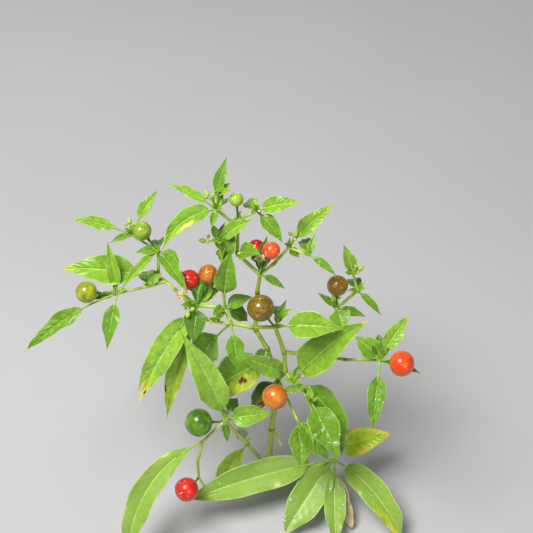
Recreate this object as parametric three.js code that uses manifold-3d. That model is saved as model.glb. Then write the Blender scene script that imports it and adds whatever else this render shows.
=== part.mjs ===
// A young chilli pepper plant with upright round fruit, rooted in the ground.
// Millimetres, +Z up. The origin is on the flat cut under the main stem, at ground level.
// The side that the plant opens to faces -Y.
import * as THREE from 'three';
import { mergeVertices } from 'three/addons/utils/BufferGeometryUtils.js';
import Module from 'manifold-3d';

const wasm = await Module();
wasm.setup();

// Gap kept between two neighbouring solids, and the part of a knot that stands out of its limb.
const CLEARANCE = 0.35;
const KNOT_SWELL = 1.7;

// The main stem starts this far under the ground, and the flat cut trims it there.
const STUB_BELOW_CUT = 2;
const FLARE_RADIUS = 1.9;
const FLARE_HEIGHT = 9;
const CUTTER_SIZE = 60;

// Leaves: the stalk's share of the whole leaf, the blade's thickness over its length, and its fold.
const STALK_SHARE = 0.14;
const STALK_RADIUS = 0.5;
const STALK_SINK = 0.12;
const BLADE_THICKNESS = 0.018;
const THINNEST_BLADE = 0.6;
const FOLD = 0.25;
const USUAL_DROOP = 35;

// Blades turn their faces this way, up and a little toward the open side.
const LIGHT = new THREE.Vector3(0, -0.5, 1).normalize();

// A blade's outline rises with one power of its length and narrows with the other.
const BASE_POWER = 0.62;
const POINTED = 1.15;
const OBLONG = 0.7;

// Long and short blades are cut into these stations.
const LONG_STATIONS = [0, 0.16, 0.42, 0.75, 1];
const SHORT_STATIONS = [0, 0.3, 0.7, 1];
const LONG_BLADE = 13;

const TWIG_RADIUS = 0.8;
const TWIG_TIP_RADIUS = 0.5;
const PEDICEL_RADIUS = 0.55;
const CALYX_RADIUS = 1.5;
const BUD_RADIUS = 1.2;

// Young leaves sprout at every knot of a sprig: how many, how long, and the turn between two.
const YOUNG_PER_KNOT = 2;
const YOUNG_SHORTEST = 6;
const YOUNG_LONGEST = 12;
const GOLDEN_TURN = 137.5;

// A leaf that hangs behind each sprig, on the side of the plant turned away from the open side.
const FAR_HEADING = 90;
const FAR_RISE = -26;
const FAR_SPREAD = 24;
const FAR_SHORTEST = 14;
const FAR_LONGEST = 24;
const FAR_SLENDER = 0.42;

const BARK = { color: 0x7d9a4a, roughness: 0.62, metalness: 0 };
const OLD_BARK = { color: 0x8c9467, roughness: 0.75, metalness: 0 };
const LEAF = { color: 0x5f9b35, roughness: 0.45, metalness: 0 };

// Limbs, each after the one that carries it. A limb starts at a knot of its carrier, numbered from
// its foot, and goes on by steps of heading, rise and length. Headings turn from +X toward +Y.
const LIMBS = [
  {
    name: 'main_stem',
    start: [0, 0, -STUB_BELOW_CUT],
    steps: [[68, 83, 48.5], [62, 80, 46.5]],
    radii: [1.9, 1.6],
    flare: true,
    material: OLD_BARK,
  },
  {
    name: 'front_stem',
    on: ['main_stem', 2],
    steps: [[-5, 63, 9], [107, 81, 17], [-176, 78, 25.5]],
    radii: [1.5, 1.15],
    material: BARK,
  },
  {
    name: 'back_stem',
    on: ['main_stem', 2],
    steps: [[151, 74, 27], [159, 65, 17.5], [75, 80, 28.5], [-23, 84, 16]],
    radii: [1.45, 1.1],
    material: BARK,
  },
  {
    name: 'left_bough',
    on: ['front_stem', 3],
    steps: [
      [-164, 20, 14.5],
      [177, 14, 12],
      [120, 40, 9.5],
      [174, 0, 15],
      [140, 0, 16.5],
      [136, 3, 9],
      [136, 3, 5.5],
    ],
    radii: [1.1, 0.8],
    material: BARK,
  },
  {
    name: 'top_bough',
    on: ['back_stem', 4],
    steps: [[154, 38, 17], [88, 50, 15], [45, 85, 5]],
    radii: [1.05, 0.8],
    material: BARK,
  },
  {
    name: 'right_top_bough',
    on: ['back_stem', 4],
    steps: [[16, 41, 10.5], [38, 31, 11.5]],
    radii: [0.95, 0.75],
    material: BARK,
  },
  {
    name: 'right_bough',
    on: ['front_stem', 2],
    steps: [[7, -18, 12], [33, 34, 16], [45, 54, 18.5]],
    radii: [1.1, 0.8],
    material: BARK,
  },
  {
    name: 'right_low_bough',
    on: ['right_bough', 1],
    steps: [[-11, 2, 25], [-51, 48, 38]],
    radii: [0.95, 0.75],
    material: BARK,
  },
  {
    name: 'left_stem',
    start: [0, 0, 5],
    steps: [[-167, 70, 39.5], [-159, 69, 38.5], [-142, -23, 18]],
    radii: [1.35, 0.8],
    material: OLD_BARK,
  },
  {
    name: 'basal_shoot',
    start: [0, 0, 5],
    steps: [[-16, 10, 22], [2, 39, 27]],
    radii: [1.9, 1.5],
    material: BARK,
  },
];

// Sprigs, the plant's masses of foliage. A sprig sits on a knot of its limb and its twig goes on by
// steps, so knot 0 is on the limb. Each row names its knot first.
// leaves: knot, heading, rise, length with stalk, width, then droop, sweep, stalk share and roll
// where they aren't usual.
// fruit: knot, heading, rise, reach to the fruit's middle, diameter. buds: knot, heading, rise, reach.
const SPRIGS = [
  {
    name: 'lower_right_sprig',
    on: ['front_stem', 1],
    steps: [[-54, 0, 8], [-51, -9, 6.5], [-45, -23, 10]],
    leaves: [
      [0, -175, 38, 36, 12, 30, -60, 0.1, -10],
      [1, 10, 50, 65, 20, 30, 0, 0.16],
      [1, -47, -45, 56, 17, 60, -60, 0.12],
      [3, -60, -30, 36.5, 18, 20, 0, 0.1],
      [1, 64, 30, 11, 4],
      [2, 178, -10, 10, 5],
    ],
    buds: [[1, 5, 45, 10.5]],
  },
  {
    name: 'fork_sprig',
    on: ['main_stem', 2],
    steps: [[-65, -15, 27.5]],
    leaves: [
      [1, -85, -60, 32, 15, 20, -40, 0.1],
      [1, -39, -40, 32, 15, 20, 0, 0.1],
      [0, -142, -40, 27, 13],
    ],
    fruit: [[0, -97, 22, 18.5, 14.8]],
    young: 0,
  },
  {
    name: 'waist_sprig',
    on: ['back_stem', 1],
    steps: [[-110, -50, 8]],
    leaves: [[1, -174, -42, 47, 23, 30, 0, 0.06]],
    young: 1,
  },
  {
    name: 'middle_sprig',
    on: ['front_stem', 3],
    steps: [[60, 50, 5]],
    leaves: [
      [0, 61, 40, 17, 5],
      [0, -6, 5, 38, 16, 30, 0, 0.2],
    ],
    fruit: [[0, 180, 65, 19.5, 15]],
    young: 1,
  },
  {
    name: 'left_knot_sprig',
    on: ['left_bough', 2],
    steps: [[-175, 13, 8.2]],
    leaves: [
      [0, -176, -64, 45.5, 18, 30, 0, 0.3],
      [0, -78, -45, 27.4, 10.5, 30, 0, 0.24],
    ],
    buds: [[1, 165, 15, 4.4]],
    young: 1,
  },
  {
    name: 'centre_left_sprig',
    on: ['left_bough', 3],
    steps: [[94, 65, 28.5], [115, 76, 13]],
    leaves: [
      [0, 69, 72, 38.5, 12.5, 30, 0, 0.3],
      [0, 20, 8, 17, 8],
      [0, 8, -50, 20, 9],
      [0, -125, 25, 12, 5],
      [1, 34, 66, 23, 12, 35, 0, 0.3],
      [2, 9, 38, 24, 8],
      [2, 113, 20, 11, 4.5],
      [2, 64, 45, 11, 4],
    ],
    buds: [[2, -176, 10, 8]],
    young: 1,
  },
  {
    name: 'left_axil_sprig',
    on: ['left_bough', 4],
    steps: [[-150, 30, 5]],
    leaves: [
      [0, 53, 25, 18, 8],
      [0, 36, 15, 18, 6],
      [0, -97, -30, 21, 13],
      [0, -150, 35, 12, 3.5],
      [0, -145, -53, 76.5, 16, 25, 0, 0.12],
      [0, -129, -66, 84.5, 11, 20, 0, 0.2],
      [0, 82, 33, 22, 8],
    ],
    fruit: [[0, 113, 35, 15, 11.6], [0, 49, 62, 21, 10.4]],
    buds: [[0, 162, 20, 10], [1, -103, -10, 5]],
    young: 1,
  },
  {
    name: 'far_left_sprig',
    on: ['left_bough', 6],
    steps: [[-155, 4, 10], [-170, -8, 18]],
    leaves: [
      [0, 176, 6, 59.5, 17, 30, 0, 0.28],
      [2, 104, 55, 31, 7.5],
      [2, -150, -15, 60.5, 9.5, 45, 0, 0.35],
      [2, -169, -10, 14.5, 4.5],
      [2, -102, -35, 32, 9.5, 35, 0, 0.2],
    ],
    fruit: [[2, -168, 18, 17.5, 12.2]],
    buds: [[2, 113, 40, 3.5]],
    young: 1,
  },
  {
    name: 'upper_left_sprig',
    on: ['left_bough', 7],
    steps: [[88, 60, 15], [161, 27, 17.5]],
    leaves: [
      [2, 51, 35, 29, 7, 35, 0, 0.36],
      [2, 170, 10, 35.5, 7, 35, 0, 0.28],
      [2, -152, 0, 13, 4],
      [1, -169, 5, 13, 5.5],
      [1, -129, -10, 31.5, 5.5],
      [1, -54, -15, 18, 10, 35, -60],
      [1, -61, 5, 39.5, 8.5, 40],
    ],
    fruit: [[1, 151, 50, 15, 10.7]],
    buds: [[2, 100, 50, 7]],
    young: 1,
  },
  {
    name: 'heart_sprig',
    on: ['back_stem', 4],
    steps: [[70, 70, 5]],
    leaves: [
      [0, -14, -30, 16.5, 4.5],
      [0, 74, 49, 22, 7],
    ],
    fruit: [[0, 99, 35, 15, 9], [0, 0, 73, 21, 9.4]],
    buds: [[0, 86, 75, 9.5]],
    young: 1,
  },
  {
    name: 'top_axil_sprig',
    on: ['top_bough', 1],
    steps: [[-60, 50, 4]],
    leaves: [
      [0, -39, 35, 20, 10],
    ],
    young: 0,
  },
  {
    name: 'top_left_sprig',
    on: ['top_bough', 2],
    steps: [[172, 45, 16], [83, 70, 8.5]],
    leaves: [
      [1, 156, 15, 30, 5.5, 35, 0, 0.22],
      [2, 65, 50, 21, 6.5, 35, 0, 0.1],
      [2, 25, 30, 10.5, 4],
      [1, 57, 30, 7.5, 4],
      [1, -136, -5, 37.5, 10, 30, 60, 0.1],
      [1, -103, -20, 11, 4.5],
    ],
    buds: [[1, 130, 40, 9]],
    young: 1,
  },
  {
    name: 'top_right_sprig',
    on: ['top_bough', 3],
    steps: [[-13, 41, 13.5]],
    leaves: [
      [1, 1, 15, 24, 9],
      [1, 107, 30, 7, 4],
      [1, -43, -30, 21.5, 8],
    ],
    fruit: [[0, 120, 84, 14, 7.4]],
    buds: [[1, -60, 30, 3]],
    young: 1,
  },
  {
    name: 'right_top_sprig',
    on: ['right_top_bough', 2],
    steps: [[-36, 13, 13.5]],
    leaves: [
      [0, 33, 30, 34, 9.5, 35, 0, 0.24],
      [0, -40, -20, 8, 5],
      [1, -33, -20, 18.5, 4.5],
    ],
    buds: [[0, 41, 55, 8]],
    young: 1,
  },
  {
    name: 'right_tip_sprig',
    on: ['right_bough', 3],
    steps: [[18, 45, 17], [113, 51, 10]],
    leaves: [
      [0, -72, -20, 13, 13],
      [0, 141, 15, 14.5, 4],
      [0, -8, -15, 18, 5.5],
      [1, -37, -30, 20, 4.5],
      [2, 115, 40, 18, 7.5],
      [2, 162, 0, 5, 3],
    ],
    fruit: [[0, 90, 72, 16, 12]],
    buds: [[0, 130, 70, 8], [2, 20, 40, 5]],
    young: 1,
  },
  {
    name: 'right_cluster_sprig',
    on: ['right_low_bough', 2],
    steps: [[40, 30, 4]],
    leaves: [
      [0, 140, 20, 19, 12],
      [0, 91, 30, 14.5, 10],
      [0, 49, 35, 29.5, 9.5, 35, 0, 0.25],
      [0, -19, -5, 23.5, 6],
      [0, -98, -40, 39, 10, 30, 0, 0.22],
    ],
    fruit: [[0, -24, 18, 13, 13.8]],
    young: 1,
  },
  {
    name: 'lower_left_sprig',
    on: ['left_stem', 2],
    steps: [[60, 50, 4]],
    leaves: [
      [0, 149, 70, 76, 17, 20, 0, 0.12],
      [0, 6, 5, 29.5, 13, 30, 0, 0.15],
      [0, -80, -30, 13, 5],
    ],
    fruit: [[0, -164, 18, 16.5, 16.5]],
    young: 1,
  },
  {
    name: 'trailing_sprig',
    on: ['left_stem', 3],
    steps: [[-137, -74, 18.5], [-93, -82, 16], [-6, -75, 10]],
    leaves: [[0, -134, -32, 73, 16, 30, 60, 0.12]],
    fruit: [[2, -120, 25, 14.5, 14.4]],
    oblong: true,
    young: 0,
  },
  {
    name: 'left_stem_sprig',
    on: ['left_stem', 1],
    steps: [[60, 40, 4]],
    leaves: [[0, 122, 20, 12, 8, 30, 0, 0.3], [0, -149, -62, 41.5, 14, 30, 0, 0.1]],
    young: 0,
  },
  {
    name: 'basal_sprig',
    on: ['basal_shoot', 2],
    steps: [[59, 69, 8.5]],
    leaves: [
      [0, -164, -2, 93, 20, 25, 0, 0.17],
      [0, -127, -18, 54, 22, 15, 0, 0.1],
      [0, -48, -14, 61.5, 17, 60, -20, 0.16],
      [0, -90, -20, 50, 14, 20, 0, 0.2],
      [0, -72, -30, 44, 9, 25, 20, 0.25],
      [1, 10, 15, 36.5, 17, 35, 0, 0.1],
    ],
    oblong: true,
    young: 0,
  },
  {
    name: 'dry_twig',
    on: ['main_stem', 1],
    steps: [[-50, -20, 6], [-60, -35, 6]],
    leaves: [],
    young: 0,
    material: OLD_BARK,
  },
];

const radians = THREE.MathUtils.degToRad;

// A unit vector from a heading and a rise, both in degrees.
function direction(heading, rise) {
  const flat = Math.cos(radians(rise));
  return new THREE.Vector3(
    flat * Math.cos(radians(heading)),
    flat * Math.sin(radians(heading)),
    Math.sin(radians(rise)),
  );
}

// The knots of a limb or twig: its start, and the end of each step.
function walk(start, steps) {
  const knots = [start.clone()];
  for (const [heading, rise, length] of steps) {
    knots.push(knots.at(-1).clone().addScaledVector(direction(heading, rise), length));
  }
  return knots;
}

// Numbers from 0 to 1 that depend only on the seed.
function seededRandom(seed) {
  let state = seed;
  return () => {
    state = (state * 1103515245 + 12345) % 2147483648;
    return state / 2147483648;
  };
}

// A closed geometry as a solid, with its shared corners merged and its flat triangles dropped.
function solidOf(geometry) {
  geometry.deleteAttribute('normal');
  geometry.deleteAttribute('uv');
  const merged = mergeVertices(geometry, 1e-4);
  const index = merged.index.array;
  const triangles = [];
  for (let i = 0; i < index.length; i += 3) {
    const [a, b, c] = [index[i], index[i + 1], index[i + 2]];
    if (a !== b && b !== c && c !== a) triangles.push(a, b, c);
  }
  return new wasm.Manifold(new wasm.Mesh({
    numProp: 3,
    vertProperties: merged.attributes.position.array,
    triVerts: new Uint32Array(triangles),
  }));
}

// A cylinder bent along a smooth curve through the points, with its radius from a function.
// Each point has a ring of its own, so what starts at a knot is sunk in its tube.
function tube(points, radiusAt, sides, ringsPerStep) {
  const rings = (points.length - 1) * ringsPerStep;
  const curve = new THREE.CatmullRomCurve3(points);
  const frames = [];
  let normal = new THREE.Vector3(0.36, 0.8, 0.48);
  for (let ring = 0; ring <= rings; ring++) {
    const ahead = curve.getTangent(ring / rings);
    normal = normal.clone().projectOnPlane(ahead).normalize();
    frames.push({ centre: curve.getPoint(ring / rings), normal, side: ahead.cross(normal) });
  }
  const geometry = new THREE.CylinderGeometry(1, 1, 1, sides, rings);
  const position = geometry.attributes.position;
  for (let i = 0; i < position.count; i++) {
    const along = position.getY(i) + 0.5;
    const { centre, normal: over, side } = frames[Math.round(along * rings)];
    const radius = radiusAt(along);
    const place = centre.clone();
    place.addScaledVector(over, position.getX(i) * radius);
    place.addScaledVector(side, -position.getZ(i) * radius);
    position.setXYZ(i, place.x, place.y, place.z);
  }
  return solidOf(geometry);
}

function limbTube(limb, extra) {
  const [foot, tip] = limb.radii;
  const total = limb.steps.reduce((sum, step) => sum + step[2], 0);
  const knots = limb.knots.map((knot) => knot.clone());
  knots[0].addScaledVector(direction(...limb.steps[0]), -extra);
  knots.at(-1).addScaledVector(direction(...limb.steps.at(-1)), extra);
  const radiusAt = (along) => {
    const flare = limb.flare ? FLARE_RADIUS * Math.exp(-along * total / FLARE_HEIGHT) : 0;
    return THREE.MathUtils.lerp(foot, tip, along) + flare + extra;
  };
  return tube(knots, radiusAt, 6, limb.flare ? 4 : 2);
}

// The midline of a leaf: its pitch falls by the droop and its heading turns by the sweep on the way.
// The row's length is straight from end to end, so the bent line is longer.
function midline(root, [, heading, rise, length, , droop = USUAL_DROOP, sweep = 0]) {
  const pieces = 24;
  const points = [root.clone()];
  const halfBend = radians(Math.hypot(droop, sweep)) / 2;
  const bentLength = length * halfBend / Math.sin(halfBend);
  for (let i = 0; i < pieces; i++) {
    const bend = (i + 0.5) / pieces - 0.5;
    const ahead = direction(heading + sweep * bend, rise - droop * bend);
    points.push(points.at(-1).clone().addScaledVector(ahead, bentLength / pieces));
  }
  return new THREE.CatmullRomCurve3(points);
}

// Half the width of a blade, as a share of its widest, at a share of its length.
function outline(along, tipPower) {
  const widest = BASE_POWER / (BASE_POWER + tipPower);
  return (along / widest) ** BASE_POWER * ((1 - along) / (1 - widest)) ** tipPower;
}

// A thin closed blade from a four-sided spindle, flattened, folded up at its rib and bent along its
// midline. Its face looks toward the light, turned from there by the roll.
function blade(line, stalkShare, length, width, tipPower, roll) {
  const stations = length > LONG_BLADE ? LONG_STATIONS : SHORT_STATIONS;
  const profile = stations.map((along) => new THREE.Vector2(outline(along, tipPower), along));
  const geometry = new THREE.LatheGeometry(profile, 4);
  const thickness = Math.max(THINNEST_BLADE, length * BLADE_THICKNESS);
  const position = geometry.attributes.position;
  for (let i = 0; i < position.count; i++) {
    const share = stalkShare + (1 - stalkShare) * position.getY(i);
    const place = line.getPointAt(share);
    const ahead = line.getTangentAt(share);
    const side = ahead.clone().cross(LIGHT).normalize().applyAxisAngle(ahead, radians(roll));
    const over = side.clone().cross(ahead);
    const across = position.getX(i) * width / 2;
    place.addScaledVector(side, across);
    place.addScaledVector(over, position.getZ(i) * thickness / 2 + Math.abs(across) * FOLD);
    position.setXYZ(i, place.x, place.y, place.z);
  }
  return solidOf(geometry);
}

// A leaf's stalk runs from its knot into the blade, where its end is sunk in.
function stalk(line, stalkShare) {
  const points = [line.getPointAt(0), line.getPointAt(stalkShare + STALK_SINK)];
  return tube(points, (along) => STALK_RADIUS * (1 - along * 0.4), 3, 1);
}

function fruitOnPedicel(root, [, heading, rise, reach, diameter]) {
  const ahead = direction(heading, rise);
  const middle = root.clone().addScaledVector(ahead, reach);
  const calyx = middle.clone().addScaledVector(ahead, -diameter * 0.47);
  const berry = new THREE.SphereGeometry(diameter / 2, 8, 5);
  berry.translate(middle.x, middle.y, middle.z);
  const widen = (along) => PEDICEL_RADIUS + (CALYX_RADIUS - PEDICEL_RADIUS) * along ** 3;
  return tube([root, calyx.clone().addScaledVector(ahead, 1.5)], widen, 4, 2).add(solidOf(berry));
}

function budOnPedicel(root, [, heading, rise, reach]) {
  const tip = root.clone().addScaledVector(direction(heading, rise), reach);
  const bud = new THREE.OctahedronGeometry(BUD_RADIUS);
  bud.translate(tip.x, tip.y, tip.z);
  return tube([root, tip], () => PEDICEL_RADIUS * 0.8, 3, 1).add(solidOf(bud));
}

// A seeded row of young leaves for one knot, each turned on from the one before.
function youngLeaves(knot, count, random) {
  const first = random() * 360;
  return Array.from({ length: count }, (_, i) => {
    const length = THREE.MathUtils.lerp(YOUNG_SHORTEST, YOUNG_LONGEST, random());
    return [knot, first + i * GOLDEN_TURN, 10 + random() * 50, length, length * 0.38];
  });
}

// A leaf that hangs behind its knot, at a seeded heading, rise and length.
function farLeaf(knot, random) {
  const heading = FAR_HEADING + THREE.MathUtils.lerp(-FAR_SPREAD, FAR_SPREAD, random());
  const rise = FAR_RISE + THREE.MathUtils.lerp(-FAR_SPREAD, FAR_SPREAD, random()) / 3;
  const length = THREE.MathUtils.lerp(FAR_SHORTEST, FAR_LONGEST, random());
  return [knot, heading, rise, length, length * FAR_SLENDER];
}

// The largest body of a solid, so that a cut leaves no scraps.
function largestBody(solid) {
  return solid.decompose().reduce((best, body) => (body.volume() > best.volume() ? body : best));
}

function touches(piece, solids) {
  return solids.some((solid) => piece.minGap(solid, CLEARANCE * 2) < CLEARANCE);
}

// Limbs first: each is cut clear of the limbs before it.
const limbs = new Map();
const wideLimbs = [];
const ground = new THREE.BoxGeometry(CUTTER_SIZE, CUTTER_SIZE, CUTTER_SIZE);
ground.translate(0, 0, -CUTTER_SIZE / 2);
const belowGround = solidOf(ground);

for (const limb of LIMBS) {
  const start = limb.on ? limbs.get(limb.on[0]).knots[limb.on[1]] : new THREE.Vector3(...limb.start);
  limb.knots = walk(start, limb.steps);
  let solid = limbTube(limb, 0).subtract(belowGround);
  for (const wide of wideLimbs) solid = solid.subtract(wide);
  limb.solid = largestBody(solid);
  wideLimbs.push(limbTube(limb, CLEARANCE));
  limbs.set(limb.name, limb);
}

// Then the sprigs: each keeps clear of the limbs and of the sprigs before it.
const limbSolids = LIMBS.map((limb) => limb.solid);
const wideTwigs = [];
const finished = [];

function buildSprig(sprig, seed) {
  const [limbName, knotNumber] = sprig.on;
  const limb = limbs.get(limbName);
  const random = seededRandom(seed);
  const knots = walk(limb.knots[knotNumber], sprig.steps);
  const tipPower = sprig.oblong ? OBLONG : POINTED;
  const limbRadius = THREE.MathUtils.lerp(...limb.radii, knotNumber / limb.steps.length);
  const swelling = new THREE.IcosahedronGeometry(limbRadius + KNOT_SWELL);
  swelling.translate(knots[0].x, knots[0].y, knots[0].z);
  const twigRadius = (along) => THREE.MathUtils.lerp(TWIG_RADIUS, TWIG_TIP_RADIUS, along);
  let solid = solidOf(swelling).add(tube(knots, twigRadius, 4, 2));

  const rows = [...sprig.leaves];
  knots.slice(1).forEach((_, i) => rows.push(...youngLeaves(i + 1, sprig.young ?? YOUNG_PER_KNOT, random)));
  if (sprig.young !== 0) rows.push(farLeaf(1, random));
  for (const row of rows) {
    const [knot, , , length, width, , , stalkShare = STALK_SHARE, roll = 0] = row;
    const line = midline(knots[knot], row);
    const leafBlade = blade(line, stalkShare, length, width, tipPower, roll);
    const leaf = leafBlade.add(stalk(line, stalkShare));
    if (touches(leafBlade, limbSolids) || touches(leaf, finished)) continue;
    solid = solid.add(leaf);
  }
  for (const row of sprig.fruit ?? []) solid = solid.add(fruitOnPedicel(knots[row[0]], row));
  for (const row of sprig.buds ?? []) solid = solid.add(budOnPedicel(knots[row[0]], row));

  for (const wide of [...wideLimbs, ...wideTwigs]) solid = solid.subtract(wide);
  const body = largestBody(solid);
  wideTwigs.push(tube(knots, (along) => twigRadius(along) + CLEARANCE, 4, 2));
  finished.push(body);
  return body;
}

const plant = new THREE.Group();

function addMesh(name, solid, look) {
  const mesh = solid.getMesh();
  const geometry = new THREE.BufferGeometry();
  geometry.setAttribute('position', new THREE.BufferAttribute(mesh.vertProperties, 3));
  geometry.setIndex(new THREE.BufferAttribute(mesh.triVerts, 1));
  geometry.computeVertexNormals();
  const part = new THREE.Mesh(geometry, new THREE.MeshStandardMaterial(look));
  part.name = name;
  plant.add(part);
}

for (const limb of LIMBS) addMesh(limb.name, limb.solid, limb.material);
SPRIGS.forEach((sprig, i) => addMesh(sprig.name, buildSprig(sprig, i + 1), sprig.material ?? LEAF));

export default plant;
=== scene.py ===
"""A young chilli pepper plant with upright round fruit, dressed over its solids.

Lengths are in millimetres until each piece is made. The limbs and sprigs repeat the part's own rows:
a step is a heading, a rise and a length, and headings turn from +X toward +Y.
"""
import math

import bpy
import numpy as np
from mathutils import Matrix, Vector
from mathutils.bvhtree import BVHTree


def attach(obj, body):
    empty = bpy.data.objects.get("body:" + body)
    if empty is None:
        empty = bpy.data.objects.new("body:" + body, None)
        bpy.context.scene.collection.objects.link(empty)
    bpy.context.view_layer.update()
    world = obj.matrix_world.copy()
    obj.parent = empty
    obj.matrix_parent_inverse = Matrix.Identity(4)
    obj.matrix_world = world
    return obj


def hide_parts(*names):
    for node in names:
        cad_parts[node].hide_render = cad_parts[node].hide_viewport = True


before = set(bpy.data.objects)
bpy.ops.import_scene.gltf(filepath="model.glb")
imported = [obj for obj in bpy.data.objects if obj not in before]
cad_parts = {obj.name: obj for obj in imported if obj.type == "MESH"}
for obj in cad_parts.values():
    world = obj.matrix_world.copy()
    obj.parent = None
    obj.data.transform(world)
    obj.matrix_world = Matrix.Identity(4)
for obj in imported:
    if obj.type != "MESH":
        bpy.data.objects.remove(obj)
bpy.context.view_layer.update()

MM = 0.001
ANY_PHASE = 6.28

# The camera looks down at 50 degrees from about two thirds of a metre, through a field of 30 degrees.
CAMERA_PLACE = (-1.0, -319.8, 593.2)
CAMERA_DOWN = 50
CAMERA_FIELD = 30
SENSOR_WIDTH = 36
NEAREST_SEEN = 0.01

# The studio, in metres. A light has a name, a place, a width, a power and a colour, and faces the plant.
LIGHTS = (
    ("sky_panel", (-0.42, -0.15, 1.25), 0.6, 19, (1, 0.99, 0.97)),
    ("front_panel", (0.6, -1.0, 0.7), 0.8, 3, (0.97, 0.98, 1)),
)
LIGHTS_AIM = (0, 0, 0.1)
SKY_STRENGTH = 0.22
FLOOR_HALF = 2.5
FLOOR_TONE = (0.50, 0.50, 0.51)

# Leaves. An outline is the two powers by which a blade widens from its base and narrows to its tip.
# The upper skin of a blade turns to LIGHT, as far as the way that the leaf grows allows.
STALK_SHARE = 0.14
STALK_SINK = 0.12
STALK_RADIUS = 0.6
STALK_TAPER = (1.5, 1.15, 1, 0.95, 0.92, 0.9, 0.85, 0.7, 0.4)
STALK_SIDES = 8
USUAL_DROOP = 35
LIGHT = np.array((0, -0.5, 1)) / math.hypot(0.5, 1)
USUAL_OUTLINE = (0.62, 1.32)
OBLONG_OUTLINE = (0.5, 0.7)
BEND_PIECES = 24
TWIST_MOST = 16
TWIST_LEVEL = 0.35
BLADE_THICKNESS = 0.26
FOLD = 0.42
FOLD_ROUNDING = 0.05
WOBBLE = 0.035

# Lines of a blade's mesh, as shares along its rib and across from the rib at 0 to the margin at 1.
# A leaf with marks gets more of them, so that the marks have fine edges.
LONG_BLADE = 13
FIRST_ROW = 0.004
LAST_ROW = 0.995
LAST_VEIN_ROW = 0.99
RIB_WIDTH = 0.045
MARGIN_FROM = 0.925
SHORT_COLUMNS = (0.3, 0.62)
LONG_COLUMNS = (0.22, 0.42, 0.62, 0.8)
MARKED_ROWS = 3
MARKED_COLUMNS = 2

# Side veins. They leave the rib at even shares and slant to the tip.
VEINS_LONG = 8
VEINS_SHORT = 5
FIRST_VEIN = 0.55
PAST_VEINS = 0.35
VEIN_WIDTH = 0.034
VEIN_REACH = 0.78
VEIN_PALER = 0.25
VEIN_SLANT = 0.8
VEIN_CURVE = 1.3
BETWEEN_VEINS = (0.28, 0.5, 0.72)

# Relief of a blade, as shares of its length. Veins and rib grow no higher past their longest length,
# and the low leaves have only a share of the veins' relief.
VEIN_RELIEF = 0.007
VEIN_RELIEF_LONGEST = 40
LOW_LEAF_RELIEF = 0.4
RIB_DEPTH = 0.010
RIB_LONGEST = 45
SLOW_WAVE = 0.020
QUICK_WAVE = 0.010

# A step of a limb or twig is straight from this share to the same share before its end, which gives
# its curve three places a step. The darker band of a knot reaches this far to either side.
STRAIGHT_FROM = 0.14
PLACES_PER_STEP = 3
NODE_REACH = 1.5

# Limbs and twigs. Relief is in shares of the radius, and the root flare and the radii of twigs are in
# millimetres. A ridge has its number round the limb, its height and how far it winds.
LIMB_SIDES = 18
LIMB_PLACES = 10
LIMB_SEED = 100
RIDGES = ((5, 0.045, 4), (2, 0.03, 9))
WRINKLE_HEIGHT = 0.02
WRINKLE_PITCH = 1.9
BARK_GRAIN = 0.012
KNOT_SWELL = 0.2
KNOT_SWELL_REACH = 1.6
FLARE_RADIUS = 1.9
FLARE_HEIGHT = 9
FLARE_LOBES = 4
FLARE_LOBE_DEPTH = 0.22
TWIG_SIDES = 12
TWIG_PLACES = 4
TWIG_RADIUS = 1.0
TWIG_TIP_RADIUS = 0.65
TWIG_KNOT_SWELL = 0.25

# Fruit. A dent has its depth as a share of the radius, and its reach as an angle. Lobes have their
# number and their height. The sag of a fruit's stalk is a share of its reach.
FRUIT_SIDES = 36
FRUIT_RINGS = 22
FRUIT_LOBES = (3, 0.010)
STALK_DENT = (0.10, 0.32)
FAR_DENT = (0.03, 0.16)
PEDICEL_RADIUS = 0.68
PEDICEL_SIDES = 10
PEDICEL_SAG = 0.05
PEDICEL_PLACES = 7

# Buds and dead flowers. A profile is rows of height and radius, and the cluster has a size, a turn and
# a lift for each bud.
BUD_CUP = ((-1.1, 0), (-1.0, 0.55), (-0.3, 1.2), (0.7, 1.4), (0.6, 1.1), (0.4, 0))
BUD = ((-0.5, 0), (-0.3, 0.95), (0.6, 1.3), (1.4, 1.2), (2.1, 0.75), (2.7, 0.28), (2.9, 0))
BUD_CLUSTER = ((1, 0, 0), (0.75, 110, 35), (0.65, -120, 20))
BUD_STALK_RADIUS = 0.5
FLOWER_HEART = ((-0.6, 0), (-0.3, 0.7), (0.4, 0.9), (1.1, 0.5), (1.9, 0.18), (2.2, 0))
FLOWER_STALK_RADIUS = 0.42
PETALS = 6
LONGEST_PETAL = 4.4
PETAL_DROOP = 110
PETAL_SWEEP = 40
PETAL_STALK = 0.02

# Unless a sprig has no young leaves, they sprout at each knot past its first, and one leaf hangs on
# its far side.
YOUNG_PER_KNOT = 2
YOUNG_SHORTEST = 6
YOUNG_LONGEST = 12
GOLDEN_TURN = 137.5
FAR_HEADING = 90
FAR_RISE = -26
FAR_SPREAD = 24
FAR_SHORTEST = 14
FAR_LONGEST = 24
FAR_SLENDER = 0.42
YOUNG_SLENDER = 0.38

# The smallest leaves, which only this finer plant has.
TINY_FEWEST = 3
TINY_MOST = 5
TINY_SHORTEST = 2.5
TINY_LONGEST = 7.5
TINY_SLENDER = 0.36

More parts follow.
